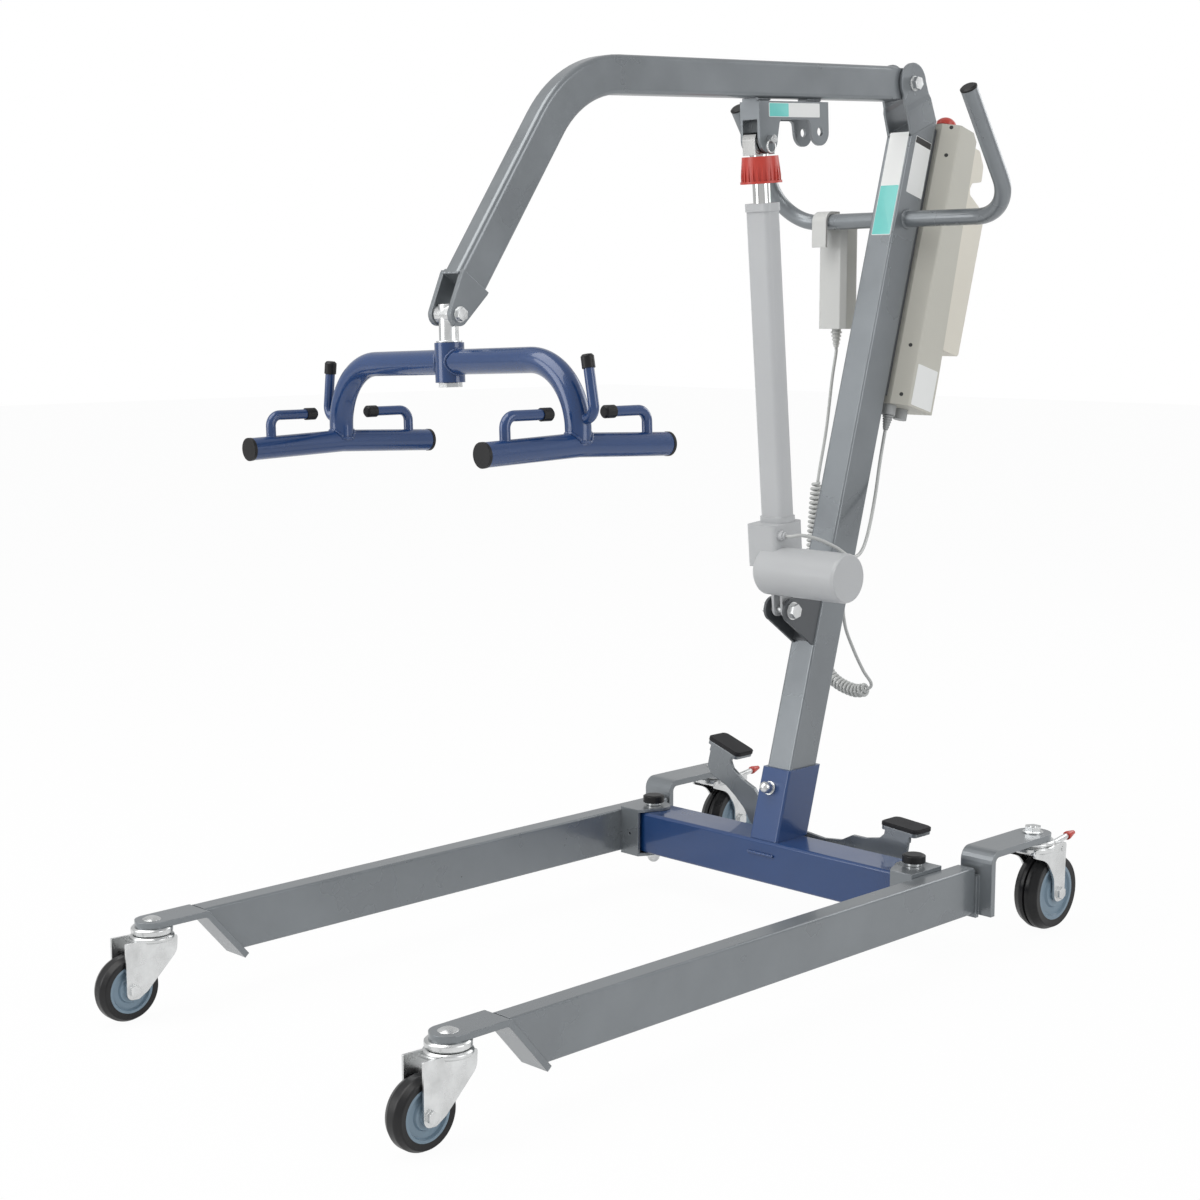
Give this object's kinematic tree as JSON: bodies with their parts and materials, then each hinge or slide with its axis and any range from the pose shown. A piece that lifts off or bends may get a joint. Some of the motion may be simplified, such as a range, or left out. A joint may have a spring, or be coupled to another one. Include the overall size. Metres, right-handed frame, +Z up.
{
  "type": "patient lift",
  "caption": "Mobile patient lift with spreading legs on casters, leaning mast, bent boom raised by an electric linear actuator, and a turning spreader with sling hooks.",
  "frame": {"origin": "middle of the bounding box at floor level, where the casters stand", "axes": "+Z up, the legs and the boom point along -Y, and +X is on the left hand of a person who stands behind the mast and pushes the lift along -Y"},
  "size_m": [0.596, 1.2212, 1.1053],
  "materials": {
    "blue_paint": "gloss",
    "grey_paint": "satin",
    "dark_paint": "satin",
    "zinc": "bright zinc",
    "chrome": "polished",
    "black_plastic": "matt",
    "grey_plastic": "matt",
    "red_plastic": "gloss",
    "beige_plastic": "fine grain",
    "cream_plastic": "fine grain",
    "light_plastic": "satin",
    "light_case": "satin",
    "tyre_rubber": "matt",
    "hub_plastic": "satin",
    "cord_plastic": "satin",
    "pad_rubber": "matt"
  },
  "bodies": {
    "base": {"crossbeam": "blue_paint", "mast_socket": "blue_paint", "mast": "grey_paint", "mast_ears": "grey_paint", "mast_bracket": "dark_paint", "bolts": "zinc", "pivot_knobs": "black_plastic", "handle": "grey_paint", "handle_caps": "black_plastic", "box_rail": "dark_paint", "control_box": "beige_plastic", "plugs": "grey_plastic", "handset": "light_plastic", "handset_cord": "cord_plastic", "actuator_cable": "cord_plastic"},
    "leg_l": {"leg_tube_l": "grey_paint", "leg_bracket_l": "grey_paint", "front_tab_l": "grey_paint", "rear_arm_l": "grey_paint", "leg_fixings_l": "zinc"},
    "front_fork_l": {"front_fork_l": "zinc"},
    "front_wheel_l": {"front_tyre_l": "tyre_rubber", "front_hub_l": "hub_plastic"},
    "rear_fork_l": {"rear_fork_l": "zinc"},
    "rear_wheel_l": {"rear_tyre_l": "tyre_rubber", "rear_hub_l": "hub_plastic"},
    "brake_l": {"brake_l": "zinc", "brake_tip_l": "red_plastic"},
    "tie_rod_l": {"tie_rod_l": "zinc"},
    "leg_r": {"leg_tube_r": "grey_paint", "leg_bracket_r": "grey_paint", "front_tab_r": "grey_paint", "rear_arm_r": "grey_paint", "leg_fixings_r": "zinc"},
    "front_fork_r": {"front_fork_r": "zinc"},
    "front_wheel_r": {"front_tyre_r": "tyre_rubber", "front_hub_r": "hub_plastic"},
    "rear_fork_r": {"rear_fork_r": "zinc"},
    "rear_wheel_r": {"rear_tyre_r": "tyre_rubber", "rear_hub_r": "hub_plastic"},
    "brake_r": {"brake_r": "zinc", "brake_tip_r": "red_plastic"},
    "tie_rod_r": {"tie_rod_r": "zinc"},
    "pedal": {"pedal_rocker": "grey_paint", "pedal_pads": "pad_rubber"},
    "boom": {"boom": "grey_paint", "boom_bracket": "grey_paint", "boom_pins": "zinc"},
    "actuator": {"actuator_body": "light_case", "actuator_tube": "light_case"},
    "rod": {"actuator_rod": "chrome"},
    "release_ring": {"release_ring": "red_plastic"},
    "hanger": {"hanger": "zinc"},
    "spreader": {"spreader": "blue_paint", "spreader_caps": "black_plastic"},
    "stop_stem": {"stop_stem": "grey_plastic"},
    "stop_cap": {"estop": "red_plastic"},
    "battery": {"battery": "cream_plastic"},
    "button_up": {"button_up": "grey_plastic"},
    "button_down": {"button_down": "grey_plastic"}
  },
  "joints": [
    {"name": "leg_right", "type": "hinge", "parent": "base", "child": "leg_r", "pos_m": [0.22, 0.23989, 0.081], "axis": [0, 0, 1], "range_deg": [0, 10]},
    {"name": "leg_left", "type": "hinge", "parent": "base", "child": "leg_l", "pos_m": [-0.22, 0.23989, 0.081], "axis": [0, 0, 1], "range_deg": [-10, 0]},
    {"name": "pedal_rock", "type": "hinge", "parent": "base", "child": "pedal", "pos_m": [-0.018, 0.30239, 0.076], "axis": [0, 1, 0], "range_deg": [-22.8, 0]},
    {"name": "tie_rod_right", "type": "hinge", "parent": "leg_r", "child": "tie_rod_r", "pos_m": [0.22, 0.28589, 0.0888], "axis": [0, 0, 1], "range_deg": [-10, 0]},
    {"name": "tie_rod_left", "type": "hinge", "parent": "leg_l", "child": "tie_rod_l", "pos_m": [-0.22, 0.28589, 0.0888], "axis": [0, 0, 1], "range_deg": [0, 10]},
    {"name": "boom_lift", "type": "hinge", "parent": "base", "child": "boom", "pos_m": [0, 0.47789, 1.07879], "axis": [-1, 0, 0], "range_deg": [-4, 35]},
    {"name": "actuator_tilt", "type": "hinge", "parent": "base", "child": "actuator", "pos_m": [0, 0.24592, 0.40599], "axis": [1, 0, 0], "range_deg": [-0.92, 0.11]},
    {"name": "rod_slide", "type": "slide", "parent": "actuator", "child": "rod", "axis": [0, -0.0919, 0.9958], "range_m": [-0.0206, 0.18]},
    {"name": "ring_turn", "type": "hinge", "parent": "rod", "child": "release_ring", "pos_m": [0, 0.19519, 0.95566], "axis": [0, -0.0919, 0.9958], "range_deg": [0, 90]},
    {"name": "hanger_swing", "type": "hinge", "parent": "boom", "child": "hanger", "pos_m": [0, -0.31032, 0.78101], "axis": [1, 0, 0], "range_deg": [-40, 40]},
    {"name": "spreader_turn", "type": "hinge", "parent": "hanger", "child": "spreader", "pos_m": [0.00175, -0.31032, 0.73104], "axis": [-0.0349, 0, 0.9994], "continuous": true},
    {"name": "front_swivel_left", "type": "hinge", "parent": "leg_l", "child": "front_fork_l", "pos_m": [-0.255, -0.53811, 0.09], "axis": [0, 0, 1], "continuous": true},
    {"name": "front_roll_left", "type": "hinge", "parent": "front_fork_l", "child": "front_wheel_l", "pos_m": [-0.255, -0.57311, 0.0375], "axis": [1, 0, 0], "continuous": true},
    {"name": "rear_swivel_left", "type": "hinge", "parent": "leg_l", "child": "rear_fork_l", "pos_m": [-0.27, 0.42189, 0.112], "axis": [0, 0, 1], "continuous": true},
    {"name": "rear_roll_left", "type": "hinge", "parent": "rear_fork_l", "child": "rear_wheel_l", "pos_m": [-0.27, 0.45389, 0.05], "axis": [1, 0, 0], "continuous": true},
    {"name": "brake_press_left", "type": "hinge", "parent": "rear_fork_l", "child": "brake_l", "pos_m": [-0.27, 0.45889, 0.1065], "axis": [-1, 0, 0], "range_deg": [0, 20]},
    {"name": "front_swivel_right", "type": "hinge", "parent": "leg_r", "child": "front_fork_r", "pos_m": [0.255, -0.53811, 0.09], "axis": [0, 0, 1], "continuous": true},
    {"name": "front_roll_right", "type": "hinge", "parent": "front_fork_r", "child": "front_wheel_r", "pos_m": [0.255, -0.57311, 0.0375], "axis": [1, 0, 0], "continuous": true},
    {"name": "rear_swivel_right", "type": "hinge", "parent": "leg_r", "child": "rear_fork_r", "pos_m": [0.27, 0.42189, 0.112], "axis": [0, 0, 1], "continuous": true},
    {"name": "rear_roll_right", "type": "hinge", "parent": "rear_fork_r", "child": "rear_wheel_r", "pos_m": [0.27, 0.45389, 0.05], "axis": [1, 0, 0], "continuous": true},
    {"name": "brake_press_right", "type": "hinge", "parent": "rear_fork_r", "child": "brake_r", "pos_m": [0.27, 0.45889, 0.1065], "axis": [-1, 0, 0], "range_deg": [0, 20]},
    {"name": "stop_press", "type": "slide", "parent": "base", "child": "stop_stem", "axis": [0, 0.2689, 0.9632], "range_m": [-0.0037, 0], "stiffness_N_per_m": 900},
    {"name": "stop_twist", "type": "hinge", "parent": "stop_stem", "child": "stop_cap", "pos_m": [0.008, 0.56498, 1.03371], "axis": [0, 0.2689, 0.9632], "range_deg": [0, 30]},
    {"name": "battery_lift", "type": "slide", "parent": "base", "child": "battery", "axis": [0, 0.2689, 0.9632], "range_m": [0, 0.06]},
    {"name": "button_up_press", "type": "slide", "parent": "base", "child": "button_up", "axis": [0, 1, 0], "range_m": [-0.0015, 0], "stiffness_N_per_m": 400},
    {"name": "button_down_press", "type": "slide", "parent": "base", "child": "button_down", "axis": [0, 1, 0], "range_m": [-0.0015, 0], "stiffness_N_per_m": 400}
  ],
  "couplings": [
    {"joint": "leg_left", "follows": "leg_right", "ratio": -1},
    {"joint": "pedal_rock", "follows": "leg_right", "ratio": -2.28},
    {"joint": "tie_rod_right", "follows": "leg_right", "ratio": -1},
    {"joint": "tie_rod_left", "follows": "leg_right", "ratio": 1},
    {"joint": "actuator_tilt", "follows": "boom_lift", "ratio": -0.026},
    {"joint": "rod_slide", "follows": "boom_lift", "m_per_rad": 0.2945}
  ]
}
